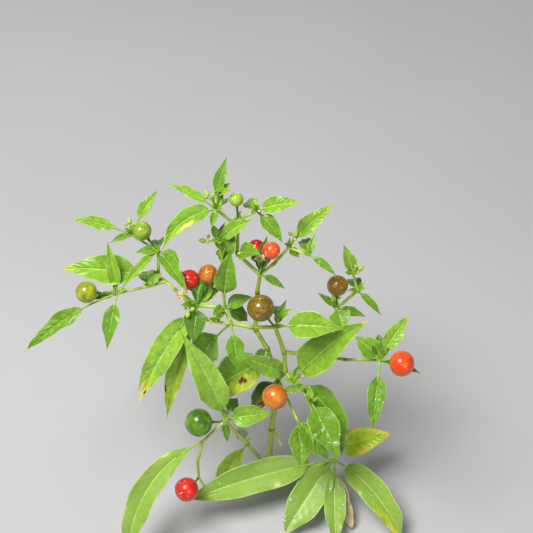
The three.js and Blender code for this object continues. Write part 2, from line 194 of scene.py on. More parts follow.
# Base colours, linear. A tone of blade has its own colour and that of its rib and margin.
BLADES = {
    "fresh": ((0.220, 0.415, 0.027), (0.38, 0.60, 0.09)),
    "mid": ((0.150, 0.315, 0.018), (0.28, 0.48, 0.06)),
    # The deep tone is a darker green, partly the leaves' own colour and partly painted shade, for leaves
    # that lie in shade inside the crown.
    "deep": ((0.085, 0.205, 0.012), (0.19, 0.36, 0.04)),
    "pale": ((0.34, 0.52, 0.035), (0.46, 0.65, 0.10)),
    # The next two tones are lighter greens, partly the leaves' own colour and partly painted sheen of wet
    # leaves and painted light on leaves that lie in shade.
    "wet": ((0.27, 0.49, 0.045), (0.44, 0.66, 0.16)),
    "bright": ((0.34, 0.61, 0.050), (0.50, 0.72, 0.18)),
    "low": ((0.27, 0.44, 0.058), (0.42, 0.58, 0.15)),
    "turning": ((0.37, 0.53, 0.020), (0.50, 0.58, 0.05)),
    "grey": ((0.26, 0.36, 0.17), (0.36, 0.44, 0.26)),
    "dry": ((0.62, 0.50, 0.28), (0.70, 0.60, 0.38)),
}
PATCHES = {
    "lime": (0.42, 0.56, 0.03),
    "yellow": (0.66, 0.58, 0.05),
    "orange": (0.68, 0.34, 0.03),
    "cream": (0.76, 0.68, 0.34),
    "tan": (0.42, 0.26, 0.06),
    "brown": (0.10, 0.045, 0.015),
}
FRUIT = {
    "olive": ((0.36, 0.52, 0.020), (0.17, 0.32, 0.010)),
    "olive_brown": ((0.47, 0.52, 0.022), (0.22, 0.22, 0.008)),
    "light_green": ((0.24, 0.46, 0.025), (0.34, 0.55, 0.04)),
    "dark_green": ((0.045, 0.145, 0.004), (0.15, 0.33, 0.010)),
    "red": ((0.80, 0.030, 0.008), (0.62, 0.010, 0.004)),
    "orange_red": ((0.86, 0.11, 0.008), (0.76, 0.050, 0.006)),
    "orange": ((0.72, 0.23, 0.012), (0.52, 0.125, 0.008)),
    # The second tones of the brown fruit are the pale of their speckles, partly the skin's own and partly
    # painted glints.
    "brown": ((0.24, 0.115, 0.004), (0.56, 0.36, 0.020)),
    "brown_olive": ((0.17, 0.10, 0.004), (0.38, 0.26, 0.016)),
}

# Skins of stems, stalks, buds and dead flowers: name, two tones, roughness, scale, and what differs.
SKINS = {
    "bark": ("green_bark", ((0.38, 0.56, 0.055), (0.53, 0.68, 0.12)), 0.5, 420,
             {"stretch": (1, 1, 0.25)}),
    "old_bark": ("old_bark", ((0.48, 0.60, 0.105), (0.64, 0.72, 0.22)), 0.68, 420,
                 {"stretch": (1, 1, 0.2), "bump": 0.5, "depth": 0.0005}),
    "node": ("node_bark", ((0.20, 0.34, 0.02), (0.32, 0.46, 0.05)), 0.6, 700, {}),
    "stalk": ("leaf_stalk", BLADES["fresh"], 0.45, 500, {"coat": 0.2}),
    "pedicel": ("fruit_stalk", ((0.050, 0.15, 0.010), (0.11, 0.27, 0.02)), 0.45, 500, {"coat": 0.2}),
    "bud": ("flower_bud", ((0.36, 0.54, 0.05), (0.50, 0.62, 0.12)), 0.5, 700, {}),
    "petal": ("dead_petal", ((0.90, 0.82, 0.46), (0.64, 0.50, 0.22)), 0.85, 900, {}),
    "ovary": ("dead_heart", ((0.10, 0.06, 0.03), (0.20, 0.14, 0.06)), 0.8, 900, {}),
}
# Rain: name, a pale tint that is partly the colour of what it stands on and partly painted sheen of the
# water, and on fruit a whitish painted glint, and how much of what lies under it the tint hides.
RAIN = {
    "drop": ("rain_sheen_on_leaf", (0.50, 0.78, 0.30), 0.42),
    "fruit_drop": ("rain_glint_on_fruit", (0.9, 0.8, 0.6), 0.22),
}

# Gloss: the weight and roughness of a clear coat, and the strength of the skin's own highlight.
BLADE_GLOSS = {"coat": 0.25, "coat_rough": 0.22, "specular": 0.3}
FRUIT_GLOSS = {"coat": 0.6, "coat_rough": 0.09, "specular": 0.3}
WATER_GLOSS = {"coat": 1.0, "coat_rough": 0.03, "specular": 1.0}
SKIN_HIGHLIGHT = 0.25
BLADE_ROUGH = 0.44
WET_ROUGH = 0.3
VEIN_ROUGH = 0.45
PATCH_ROUGH = 0.6
FRUIT_ROUGH = 0.36
WATER_ROUGH = 0.05
FLOOR_ROUGH = 0.9
FLOOR_HIGHLIGHT = 0.2

# Patterns, as features to a metre. A mottle is how far the tones of a blade go from its base colour, a
# bump is a strength and a depth in metres, and a blend is where its first tone ends and its second starts.
MOTTLE_SCALE = 340
BLADE_MOTTLE = 0.14
LOW_MOTTLE = 0.05
OTHER_MOTTLE = 0.12
GRAIN_SCALE = 1900
GRAIN_BUMP = (0.22, 0.00025)
CLOUD_SCALE = 170
# The pale speckles of the brown fruit are partly their own and partly painted glints.
SPECKLE_AND_GLINT_SCALE = 1100
SPECKLE_AND_GLINT_BLEND = (0.0, 0.42)
CLOUD_BLEND = (0.38, 0.62)
DIMPLE_SCALE = 420
DIMPLE_BUMP = (0.25, 0.0005)

# The piece that holds the leaves of the sprigs on each limb.
LEAF_PIECES = {
    "left_leaves": ("left_bough",),
    "top_leaves": ("back_stem", "top_bough", "right_top_bough"),
    "right_leaves": ("front_stem", "right_bough", "right_low_bough"),
    "lower_leaves": ("main_stem", "left_stem", "basal_shoot"),
}
LEAVES_ON = {limb: piece for piece, limbs in LEAF_PIECES.items() for limb in limbs}

LIMBS = [
    {"name": "main_stem", "start": (0, 0, -2), "radii": (1.9, 1.6), "bark": "old_bark", "flare": True,
     "steps": [(68, 83, 48.5), (62, 80, 46.5)]},
    {"name": "front_stem", "on": ("main_stem", 2), "radii": (1.5, 1.15), "bark": "bark",
     "steps": [(-5, 63, 9), (107, 81, 17), (-176, 78, 25.5)]},
    {"name": "back_stem", "on": ("main_stem", 2), "radii": (1.45, 1.1), "bark": "bark",
     "steps": [(151, 74, 27), (159, 65, 17.5), (75, 80, 28.5), (-23, 84, 16)]},
    {"name": "left_bough", "on": ("front_stem", 3), "radii": (1.1, 0.8), "bark": "bark",
     "steps": [(-164, 20, 14.5), (177, 14, 12), (120, 40, 9.5), (174, 0, 15), (140, 0, 16.5),
               (136, 3, 9), (136, 3, 5.5)]},
    {"name": "top_bough", "on": ("back_stem", 4), "radii": (1.05, 0.8), "bark": "bark",
     "steps": [(154, 38, 17), (88, 50, 15), (45, 85, 5)]},
    {"name": "right_top_bough", "on": ("back_stem", 4), "radii": (0.95, 0.75), "bark": "bark",
     "steps": [(16, 41, 10.5), (38, 31, 11.5)]},
    {"name": "right_bough", "on": ("front_stem", 2), "radii": (1.1, 0.8), "bark": "bark",
     "steps": [(7, -18, 12), (33, 34, 16), (45, 54, 18.5)]},
    {"name": "right_low_bough", "on": ("right_bough", 1), "radii": (0.95, 0.75), "bark": "bark",
     "steps": [(-11, 2, 25), (-51, 48, 38)]},
    {"name": "left_stem", "start": (0, 0, 5), "radii": (1.35, 0.8), "bark": "old_bark",
     "steps": [(-167, 70, 39.5), (-159, 69, 38.5), (-142, -23, 18)]},
    {"name": "basal_shoot", "start": (0, 0, 5), "radii": (1.9, 1.5), "bark": "bark",
     "steps": [(-16, 10, 22), (2, 39, 27)]},
]

# A leaf: knot, heading, rise, length, width, droop, sweep, stalk share, roll. Tones follow in order.
# A fruit: knot, heading, rise, reach, diameter, tone. A bud or a dead flower: knot, heading, rise, reach.
SPRIGS = [
    {"name": "lower_right_sprig", "on": ("front_stem", 1),
     "steps": [(-54, 0, 8), (-51, -9, 6.5), (-45, -23, 10)],
     "leaves": [(0, -175, 38, 36, 12, 30, -60, 0.1, -10), (1, 10, 50, 65, 20, 30, 0, 0.16),
                (1, -47, -45, 56, 17, 60, -60, 0.12), (3, -60, -30, 36.5, 18, 20, 0, 0.1),
                (1, 64, 30, 11, 4), (2, 178, -10, 10, 5)],
     # Its first leaf takes the wet tone partly for its own lighter green and partly as painted light, as
     # it lies in shade.
     "tones": "wet fresh mid mid mid mid",
     "buds": [(1, 5, 45, 10.5)]},
    {"name": "fork_sprig", "on": ("main_stem", 2), "young": 0,
     "steps": [(-65, -15, 27.5)],
     "leaves": [(1, -85, -60, 32, 15, 20, -40, 0.1), (1, -39, -40, 32, 15, 20, 0, 0.1),
                (0, -142, -40, 27, 13)],
     "tones": "fresh mid deep",
     "fruit": [(0, -97, 22, 18.5, 14.8, "orange")]},
    {"name": "waist_sprig", "on": ("back_stem", 1), "young": 1,
     "steps": [(-110, -50, 8)],
     "leaves": [(1, -174, -42, 47, 23, 30, 0, 0.06)],
     "tones": "fresh"},
    {"name": "middle_sprig", "on": ("front_stem", 3), "young": 1,
     "steps": [(60, 50, 5)],
     "leaves": [(0, 61, 40, 17, 5), (0, -6, 5, 38, 16, 30, 0, 0.2)],
     "tones": "mid fresh",
     "fruit": [(0, 180, 65, 19.5, 15, "brown_olive")]},
    {"name": "left_knot_sprig", "on": ("left_bough", 2), "young": 1,
     "steps": [(-175, 13, 8.2)],
     "leaves": [(0, -176, -64, 45.5, 18, 30, 0, 0.3), (0, -78, -45, 27.4, 10.5, 30, 0, 0.24)],
     "tones": "fresh mid",
     "buds": [(1, 165, 15, 4.4)]},
    {"name": "centre_left_sprig", "on": ("left_bough", 3), "young": 1,
     "steps": [(94, 65, 28.5), (115, 76, 13)],
     "leaves": [(0, 69, 72, 38.5, 12.5, 30, 0, 0.3), (0, 20, 8, 17, 8), (0, 8, -50, 20, 9),
                (0, -125, 25, 12, 5), (1, 34, 66, 23, 12, 35, 0, 0.3), (2, 9, 38, 24, 8),
                (2, 113, 20, 11, 4.5), (2, 64, 45, 11, 4)],
     "tones": "mid mid deep mid mid fresh mid mid",
     "buds": [(2, -176, 10, 8)]},
    {"name": "left_axil_sprig", "on": ("left_bough", 4), "young": 1,
     "steps": [(-150, 30, 5)],
     "leaves": [(0, 53, 25, 18, 8), (0, 36, 15, 18, 6), (0, -97, -30, 21, 13), (0, -150, 35, 12, 3.5),
                (0, -145, -53, 76.5, 16, 25, 0, 0.12), (0, -129, -66, 84.5, 11, 20, 0, 0.2),
                (0, 82, 33, 22, 8)],
     # Its sixth leaf takes the pale tone, partly its own lighter colour and partly painted light, as it
     # lies in shade.
     "tones": "fresh mid deep mid wet pale deep",
     "fruit": [(0, 113, 35, 15, 11.6, "red"), (0, 49, 62, 21, 10.4, "orange")],
     "dead": [(0, 162, 20, 10)],
     "buds": [(1, -103, -10, 5)]},
    {"name": "far_left_sprig", "on": ("left_bough", 6), "young": 1,
     "steps": [(-155, 4, 10), (-170, -8, 18)],
     "leaves": [(0, 176, 6, 59.5, 17, 30, 0, 0.28), (2, 104, 55, 31, 7.5),
                (2, -150, -15, 60.5, 9.5, 45, 0, 0.35), (2, -169, -10, 14.5, 4.5),
                (2, -102, -35, 32, 9.5, 35, 0, 0.2)],
     "tones": "fresh fresh mid mid mid",
     "fruit": [(2, -168, 18, 17.5, 12.2, "olive_brown")],
     "buds": [(2, 113, 40, 3.5)]},
    {"name": "upper_left_sprig", "on": ("left_bough", 7), "young": 1,
     "steps": [(88, 60, 15), (161, 27, 17.5)],
     "leaves": [(2, 51, 35, 29, 7, 35, 0, 0.36), (2, 170, 10, 35.5, 7, 35, 0, 0.28),
                (2, -152, 0, 13, 4), (1, -169, 5, 13, 5.5), (1, -129, -10, 31.5, 5.5),
                (1, -54, -15, 18, 10, 35, -60), (1, -61, 5, 39.5, 8.5, 40)],
     "tones": "fresh fresh mid mid fresh mid mid",
     "fruit": [(1, 151, 50, 15, 10.7, "olive")],
     "buds": [(2, 100, 50, 7)]},
    {"name": "heart_sprig", "on": ("back_stem", 4), "young": 1,
     "steps": [(70, 70, 5)],
     "leaves": [(0, -14, -30, 16.5, 4.5), (0, 74, 49, 22, 7)],
     "tones": "mid deep",
     "fruit": [(0, 99, 35, 15, 9, "red"), (0, 0, 73, 21, 9.4, "orange_red")],
     "dead": [(0, 86, 75, 9.5)]},
    {"name": "top_axil_sprig", "on": ("top_bough", 1), "young": 0,
     "steps": [(-60, 50, 4)],
     "leaves": [(0, -39, 35, 20, 10)],
     "tones": "mid"},
    {"name": "top_left_sprig", "on": ("top_bough", 2), "young": 1,
     "steps": [(172, 45, 16), (83, 70, 8.5)],
     "leaves": [(1, 156, 15, 30, 5.5, 35, 0, 0.22), (2, 65, 50, 21, 6.5, 35, 0, 0.1),
                (2, 25, 30, 10.5, 4), (1, 57, 30, 7.5, 4),
                (1, -136, -5, 37.5, 10, 30, 60, 0.1), (1, -103, -20, 11, 4.5)],
     "tones": "fresh mid fresh fresh fresh mid",
     "buds": [(1, 130, 40, 9)]},
    {"name": "top_right_sprig", "on": ("top_bough", 3), "young": 1,
     "steps": [(-13, 41, 13.5)],
     "leaves": [(1, 1, 15, 24, 9), (1, 107, 30, 7, 4), (1, -43, -30, 21.5, 8)],
     "tones": "fresh fresh mid",
     "fruit": [(0, 120, 84, 14, 7.4, "light_green")],
     "dead": [(1, -60, 30, 3)]},
    {"name": "right_top_sprig", "on": ("right_top_bough", 2), "young": 1,
     "steps": [(-36, 13, 13.5)],
     "leaves": [(0, 33, 30, 34, 9.5, 35, 0, 0.24), (0, -40, -20, 8, 5), (1, -33, -20, 18.5, 4.5)],
     "tones": "fresh mid mid",
     "buds": [(0, 41, 55, 8)]},
    {"name": "right_tip_sprig", "on": ("right_bough", 3), "young": 1,
     "steps": [(18, 45, 17), (113, 51, 10)],
     "leaves": [(0, -72, -20, 13, 13), (0, 141, 15, 14.5, 4), (0, -8, -15, 18, 5.5),
                (1, -37, -30, 20, 4.5), (2, 115, 40, 18, 7.5), (2, 162, 0, 5, 3)],
     "tones": "fresh mid mid mid fresh mid",
     "fruit": [(0, 90, 72, 16, 12, "brown")],
     "buds": [(0, 130, 70, 8), (2, 20, 40, 5)]},
    {"name": "right_cluster_sprig", "on": ("right_low_bough", 2), "young": 1,
     "steps": [(40, 30, 4)],
     "leaves": [(0, 140, 20, 19, 12), (0, 91, 30, 14.5, 10), (0, 49, 35, 29.5, 9.5, 35, 0, 0.25),
                (0, -19, -5, 23.5, 6), (0, -98, -40, 39, 10, 30, 0, 0.22)],
     "tones": "mid deep fresh mid mid",
     "fruit": [(0, -24, 18, 13, 13.8, "orange_red")]},
    {"name": "lower_left_sprig", "on": ("left_stem", 2), "young": 1,
     "steps": [(60, 50, 4)],
     "leaves": [(0, 149, 70, 76, 17, 20, 0, 0.12), (0, 6, 5, 29.5, 13, 30, 0, 0.15),
                (0, -80, -30, 13, 5)],
     "tones": "bright fresh deep",
     "fruit": [(0, -164, 18, 16.5, 16.5, "dark_green")]},
    {"name": "trailing_sprig", "on": ("left_stem", 3), "young": 0, "oblong": True,
     "steps": [(-137, -74, 18.5), (-93, -82, 16), (-6, -75, 10)],
     "leaves": [(0, -134, -32, 73, 16, 30, 60, 0.12)],
     "tones": "low",
     "fruit": [(2, -120, 25, 14.5, 14.4, "red")]},
    {"name": "left_stem_sprig", "on": ("left_stem", 1), "young": 0,
     "steps": [(60, 40, 4)],
     "leaves": [(0, 122, 20, 12, 8, 30, 0, 0.3), (0, -149, -62, 41.5, 14, 30, 0, 0.1)],
     "tones": "grey pale"},
    {"name": "basal_sprig", "on": ("basal_shoot", 2), "young": 0, "oblong": True,
     "steps": [(59, 69, 8.5)],
     "leaves": [(0, -164, -2, 93, 20, 25, 0, 0.17), (0, -127, -18, 54, 22, 15, 0, 0.1),
                (0, -48, -14, 61.5, 17, 60, -20, 0.16), (0, -90, -20, 50, 14, 20, 0, 0.2),
                (0, -72, -30, 44, 9, 25, 20, 0.25), (1, 10, 15, 36.5, 17, 35, 0, 0.1)],
     "tones": "low low low low dry turning"},
    {"name": "dry_twig", "on": ("main_stem", 1), "young": 0,
     "steps": [(-50, -20, 6), (-60, -35, 6)],
     "leaves": [],
     "tones": ""},
]

# Discoloured places of single leaves: share along, share across from -1 to 1, size in both, tone.
# Later ones lie over earlier ones.
MARKS = {
    ("left_axil_sprig", 4): [(1.0, 0, 0.36, 1.6, "lime"), (1.0, 0, 0.26, 1.5, "yellow"),
                             (0.95, 0, 0.14, 1.5, "cream"), (0.80, 0.5, 0.05, 0.4, "cream"),
                             (0.83, -0.6, 0.03, 0.25, "brown")],
    ("waist_sprig", 0): [(0.3, -0.75, 0.34, 0.55, "lime"), (0.3, -0.45, 0.10, 0.22, "yellow"),
                         (0.32, -0.42, 0.07, 0.17, "tan"), (0.33, -0.40, 0.045, 0.12, "brown"),
                         (0.27, -0.52, 0.04, 0.10, "brown")],
    ("fork_sprig", 2): [(0.62, -0.5, 0.22, 0.45, "tan"), (0.62, -0.6, 0.19, 0.4, "brown"),
                        (0.7, -0.7, 0.08, 0.2, "tan")],
    ("top_left_sprig", 4): [(0.5, -0.7, 0.22, 0.3, "lime"), (0.45, -0.6, 0.12, 0.16, "yellow"),
                            (0.5, -0.7, 0.08, 0.14, "cream")],
    ("basal_sprig", 5): [(0.2, -0.95, 0.3, 0.3, "yellow"), (0.2, -1.0, 0.15, 0.16, "orange"),
                         (0.8, -0.9, 0.3, 0.5, "lime"), (0.84, -0.8, 0.2, 0.5, "yellow"),
                         (0.5, 0.9, 0.3, 0.4, "lime"), (0.4, 0.9, 0.16, 0.2, "yellow"),
                         (1.0, 0, 0.14, 1.5, "yellow"), (1.0, 0, 0.05, 1.5, "orange")],
    ("basal_sprig", 2): [(0.85, 0.75, 0.32, 0.55, "lime"), (0.92, 0.85, 0.09, 0.25, "yellow")],
    ("left_axil_sprig", 5): [(0.8, 0.8, 0.3, 0.4, "lime"), (0.6, 0.9, 0.04, 0.15, "brown")],
    ("right_top_sprig", 0): [(1.0, 0, 0.2, 1.3, "lime")],
    ("top_right_sprig", 0): [(1.0, 0, 0.2, 1.3, "lime"), (1.0, 0, 0.07, 1.3, "yellow")],
    ("upper_left_sprig", 1): [(1.0, 0, 0.16, 1.3, "lime"), (1.0, 0, 0.05, 1.3, "yellow")],
    ("far_left_sprig", 0): [(1.0, 0, 0.2, 1.3, "lime"), (1.0, 0, 0.06, 1.3, "yellow")],
    ("far_left_sprig", 2): [(1.0, 0, 0.08, 1.3, "yellow")],
    ("lower_right_sprig", 1): [(1.0, 0, 0.08, 1.3, "yellow")],
    ("right_cluster_sprig", 2): [(1.0, 0, 0.12, 1.3, "lime")],
}

# Blades with an outline of their own: the powers by which it widens from the base and narrows to the tip.
OUTLINES = {
    ("trailing_sprig", 0): (0.55, 0.42),
    ("basal_sprig", 5): (0.5, 1.1),
    ("basal_sprig", 2): (0.42, 0.6),
    ("lower_left_sprig", 0): (0.7, 1.25),
    ("left_stem_sprig", 1): (0.9, 0.8),
    ("waist_sprig", 0): (0.42, 0.9),
}

# Leaves with standing drops of rain: how many, and how wide the widest is.
WET = {
    ("lower_right_sprig", 3): (14, 4.0),
    ("lower_right_sprig", 2): (26, 1.6),
    ("lower_right_sprig", 1): (10, 1.8),
    ("basal_sprig", 1): (16, 3.8),
    ("basal_sprig", 0): (18, 2.6),
    ("basal_sprig", 2): (14, 2.4),
    ("basal_sprig", 3): (10, 2.6),
    ("left_axil_sprig", 4): (34, 1.8),
    ("lower_left_sprig", 0): (20, 1.9),
    ("left_stem_sprig", 1): (6, 1.8),
    ("middle_sprig", 1): (10, 1.6),
    ("waist_sprig", 0): (12, 1.6),
    ("lower_left_sprig", 1): (5, 1.8),
    ("right_cluster_sprig", 4): (14, 1.7),
    ("trailing_sprig", 0): (8, 1.6),
}
USUAL_DROPS = (3, 1.1)
FRUIT_DROPS = 9


def direction(heading, rise):
    """A unit vector from a heading and a rise, both in degrees."""
    flat = math.cos(math.radians(rise))
    return np.array((flat * math.cos(math.radians(heading)),
                     flat * math.sin(math.radians(heading)),
                     math.sin(math.radians(rise))))


def lerp(a, b, share):
    return (1 - share) * a + share * b


def walk(start, steps):
    """The knots of a limb or twig: its start, and the end of each step."""
    knots = [np.array(start, float)]
    for heading, rise, length in steps:
        knots.append(knots[-1] + direction(heading, rise) * length)
    return knots


def seeded_random(seed):
    """The part's own row of numbers from 0 to 1, in the same double precision."""
    multiplier, increment, modulus = 1103515245.0, 12345.0, 2147483648.0
    state = float(seed)

    def draw():
        nonlocal state
        state = math.fmod(state * multiplier + increment, modulus)
        return state / modulus
    return draw


def unit(vectors):
    return vectors / np.linalg.norm(vectors, axis=-1, keepdims=True)


def between(a, b, t, start, end):
    """The place at t on a line that leaves a at the start and reaches b at the end."""
    return (a * (end - t) + b * (t - start)) / (end - start)


def smooth_curve(points, per_step):
    """A centripetal curve through the points, with the same number of places on each step."""
    points = [np.asarray(p, float) for p in points]
    ends = [2 * points[0] - points[1], *points, 2 * points[-1] - points[-2]]
    places = []
    for p0, p1, p2, p3 in zip(ends, ends[1:], ends[2:], ends[3:]):
        t1 = math.sqrt(np.linalg.norm(p1 - p0))
        t2 = t1 + math.sqrt(np.linalg.norm(p2 - p1))
        t3 = t2 + math.sqrt(np.linalg.norm(p3 - p2))
        for t in np.linspace(t1, t2, per_step, endpoint=False):
            a1, a2, a3 = between(p0, p1, t, 0, t1), between(p1, p2, t, t1, t2), between(p2, p3, t, t2, t3)
            b1, b2 = between(a1, a2, t, 0, t2), between(a2, a3, t, t1, t3)
            places.append(between(b1, b2, t, t1, t2))
    places.append(points[-1])
    return np.array(places)


def straight_steps(knots):
    """The knots with two places more on every step, so that a curve bends only beside the knots."""
    places = []
    for a, b in zip(knots, knots[1:]):
        places += [a, lerp(a, b, STRAIGHT_FROM), lerp(b, a, STRAIGHT_FROM)]
    return [*places, knots[-1]]


class Pile:
    """Many small shapes of one kind, gathered to become one joined piece."""

    def __init__(self):
        self.points = []
        self.faces = []
        self.tones = []
        self.count = 0

    def add(self, points, faces, tones):
        """Faces are tuples of places in points. Tones is one name, or one for each face."""
        self.points.append(np.asarray(points, float))
        self.faces += [tuple(i + self.count for i in face) for face in faces]
        self.tones += [tones] * len(faces) if isinstance(tones, str) else list(tones)
        self.count += len(points)

    def piece(self, name, looks, replaced, slot):
        mesh = bpy.data.meshes.new(name)
        mesh.from_pydata((np.concatenate(self.points) * MM).tolist(), [], self.faces)
        used = sorted(set(self.tones))
        for tone in used:
            mesh.materials.append(looks[tone])
        numbers = [used.index(tone) for tone in self.tones]
        mesh.polygons.foreach_set("material_index", numbers)
        mesh.polygons.foreach_set("use_smooth", [True] * len(numbers))
        mesh.update()
        made = bpy.data.objects.new(name, mesh)
        bpy.context.collection.objects.link(made)
        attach(made, "root")
        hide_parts(*replaced)


def ring_faces(rings, sides):
    """Faces of a closed tube of rings, with a flat cap at each end."""
    faces = []
    for ring in range(rings - 1):
        for side in range(sides):
            here = ring * sides + side
            beside = ring * sides + (side + 1) % sides
            faces.append((here, beside, beside + sides, here + sides))
    faces.append(tuple(reversed(range(sides))))
    faces.append(tuple(range((rings - 1) * sides, rings * sides)))
    return faces


def turns_of(sides):
    return np.arange(sides) * 2 * math.pi / sides


def tube_rings(places, radii, sides):
    """Rings round a row of places. Radii is one number for each place, or one for each ring corner."""
    ahead = unit(np.gradient(places, axis=0))
    over = np.array((0.36, 0.8, 0.48))
    radii = np.asarray(radii, float)
    if radii.ndim < 2:
        radii = np.broadcast_to(radii, len(places))[:, None]
    radii = np.broadcast_to(radii, (len(places), sides))
    turns = turns_of(sides)
    rings = []
    for place, way, radius in zip(places, ahead, radii):
        over = over - way * over.dot(way)
        over = over / np.linalg.norm(over)
        side = np.cross(way, over)
        along_over = np.outer(np.cos(turns) * radius, over)
        along_side = np.outer(np.sin(turns) * radius, side)
        rings.append(place + along_over + along_side)
    return np.array(rings)


def add_tube(pile, places, radii, sides, tone):
    rings = tube_rings(np.asarray(places, float), radii, sides)
    pile.add(rings.reshape(-1, 3), ring_faces(len(rings), sides), tone)


def add_turned(pile, profile, foot, ahead, sides, tone, lobes=(0, 0.0)):
    """A closed turned shape. The profile is rows of height and radius, from axis to axis."""
    ahead = unit(np.asarray(ahead, float))
    over = unit(np.cross(ahead, (0.31, 0.87, 0.38)))
    side = np.cross(ahead, over)
    turns = turns_of(sides)
    lobe_count, lobe_depth = lobes
    swell = 1 + lobe_depth * np.cos(turns * lobe_count)
    inner = profile[1:-1]
    points = [foot + ahead * profile[0][0]]
    for height, radius in inner:
        ring = np.outer(np.cos(turns) * swell, over) + np.outer(np.sin(turns) * swell, side)
        points += list(foot + ahead * height + ring * radius)
    points.append(foot + ahead * profile[-1][0])
    last = len(points) - 1
    faces = [(0, 1 + (s + 1) % sides, 1 + s) for s in range(sides)]
    for ring in range(len(inner) - 1):
        start = 1 + ring * sides
        for s in range(sides):
            t = (s + 1) % sides
            faces.append((start + s, start + t, start + t + sides, start + s + sides))
    start = 1 + (len(inner) - 1) * sides
    faces += [(last, start + s, start + (s + 1) % sides) for s in range(sides)]
    pile.add(points, faces, tone)


def principled(name, rough, coat=0.0, coat_rough=0.1, specular=0.5):
    material = bpy.data.materials.new(name)
    material.use_nodes = True
    shader = material.node_tree.nodes["Principled BSDF"]
    shader.inputs["Roughness"].default_value = rough
    shader.inputs["Specular IOR Level"].default_value = specular
    shader.inputs["Coat Weight"].default_value = coat
    shader.inputs["Coat Roughness"].default_value = coat_rough
    return material, material.node_tree, shader


def noise_node(tree, scale, detail, stretch=(1, 1, 1)):
    """Noise over the object's own space, in metres, with features of about 1 / scale."""
    where = tree.nodes.new("ShaderNodeTexCoord")
    squeeze = tree.nodes.new("ShaderNodeMapping")
    squeeze.inputs["Scale"].default_value = stretch
    noise = tree.nodes.new("ShaderNodeTexNoise")
    noise.inputs["Scale"].default_value = scale
    noise.inputs["Detail"].default_value = detail
    tree.links.new(where.outputs["Object"], squeeze.inputs["Vector"])
    tree.links.new(squeeze.outputs["Vector"], noise.inputs["Vector"])
    return noise


def two_tones(tree, shader, factor, first, second, low=0.35, high=0.65):
    """A blend of two colours over a factor, into the base colour."""
    ramp = tree.nodes.new("ShaderNodeValToRGB")
    ramp.color_ramp.elements[0].position = low
    ramp.color_ramp.elements[0].color = (*first, 1)
    ramp.color_ramp.elements[1].position = high
    ramp.color_ramp.elements[1].color = (*second, 1)
    tree.links.new(factor, ramp.inputs["Fac"])
    tree.links.new(ramp.outputs["Color"], shader.inputs["Base Color"])


def add_bump(tree, shader, height, strength, distance):
    bump = tree.nodes.new("ShaderNodeBump")
    bump.inputs["Strength"].default_value = strength
    bump.inputs["Distance"].default_value = distance
    tree.links.new(height, bump.inputs["Height"])
    tree.links.new(bump.outputs["Normal"], shader.inputs["Normal"])


def blade_material(name, colour, rough, mottling=OTHER_MOTTLE):
    """Leaf skin: one base colour with a slight mottle, a fine grain and a wet coat."""
    material, tree, shader = principled(name, rough, **BLADE_GLOSS)
    mottle = noise_node(tree, MOTTLE_SCALE, 3)
    darker = tuple(c * (1 - mottling) for c in colour)
    lighter = tuple(c * (1 + mottling) for c in colour)
    two_tones(tree, shader, mottle.outputs["Fac"], darker, lighter)
    grain = noise_node(tree, GRAIN_SCALE, 2)
    add_bump(tree, shader, grain.outputs["Fac"], *GRAIN_BUMP)
    return material


def skin_material(name, tones, rough, scale, stretch=(1, 1, 1), bump=0.3, depth=0.0003, coat=0.0):
    """Bark, stalk or husk: a blend of two tones over streaked noise, under finer streaks in relief."""
    material, tree, shader = principled(name, rough, coat, specular=SKIN_HIGHLIGHT)
    streaks = noise_node(tree, scale, 4, stretch)
    two_tones(tree, shader, streaks.outputs["Fac"], *tones)
    fine = noise_node(tree, scale * 3, 3, stretch)
    add_bump(tree, shader, fine.outputs["Fac"], bump, depth)
    return material


def fruit_material(name, tones, speckled_and_glinting):
    """Taut waxy skin under a clear gloss, and on the brown fruit fine pale speckles, partly the skin's own
    and partly painted glints.
    """
    material, tree, shader = principled(name, FRUIT_ROUGH, **FRUIT_GLOSS)
    clouds = noise_node(tree, CLOUD_SCALE, 2)
    factor, blend = clouds.outputs["Fac"], CLOUD_BLEND
    if speckled_and_glinting:
        where = tree.nodes.new("ShaderNodeTexCoord")
        speckle_and_glint_dots = tree.nodes.new("ShaderNodeTexVoronoi")
        speckle_and_glint_dots.inputs["Scale"].default_value = SPECKLE_AND_GLINT_SCALE
        tree.links.new(where.outputs["Object"], speckle_and_glint_dots.inputs["Vector"])
        both = tree.nodes.new("ShaderNodeMath")
        both.operation = "SUBTRACT"
        tree.links.new(clouds.outputs["Fac"], both.inputs[0])
        tree.links.new(speckle_and_glint_dots.outputs["Distance"], both.inputs[1])
        factor, blend = both.outputs["Value"], SPECKLE_AND_GLINT_BLEND
    two_tones(tree, shader, factor, *tones, *blend)
    dimples = noise_node(tree, DIMPLE_SCALE, 2)
    add_bump(tree, shader, dimples.outputs["Fac"], *DIMPLE_BUMP)
    return material


def rain_material(name, sheen_tint, hiding):
    """Water as a thin wash of a pale tint, partly painted sheen and glint, under a hard gloss."""
    material, _, shader = principled(name, WATER_ROUGH, **WATER_GLOSS)
    shader.inputs["Base Color"].default_value = (*sheen_tint, 1)
    shader.inputs["Alpha"].default_value = hiding
    return material


def floor_material():
    material, tree, shader = principled("floor_paper", FLOOR_ROUGH, specular=FLOOR_HIGHLIGHT)
    clouds = noise_node(tree, 6, 3)
    paler = tuple(c * 1.03 for c in FLOOR_TONE)
    two_tones(tree, shader, clouds.outputs["Fac"], FLOOR_TONE, paler)
    return material


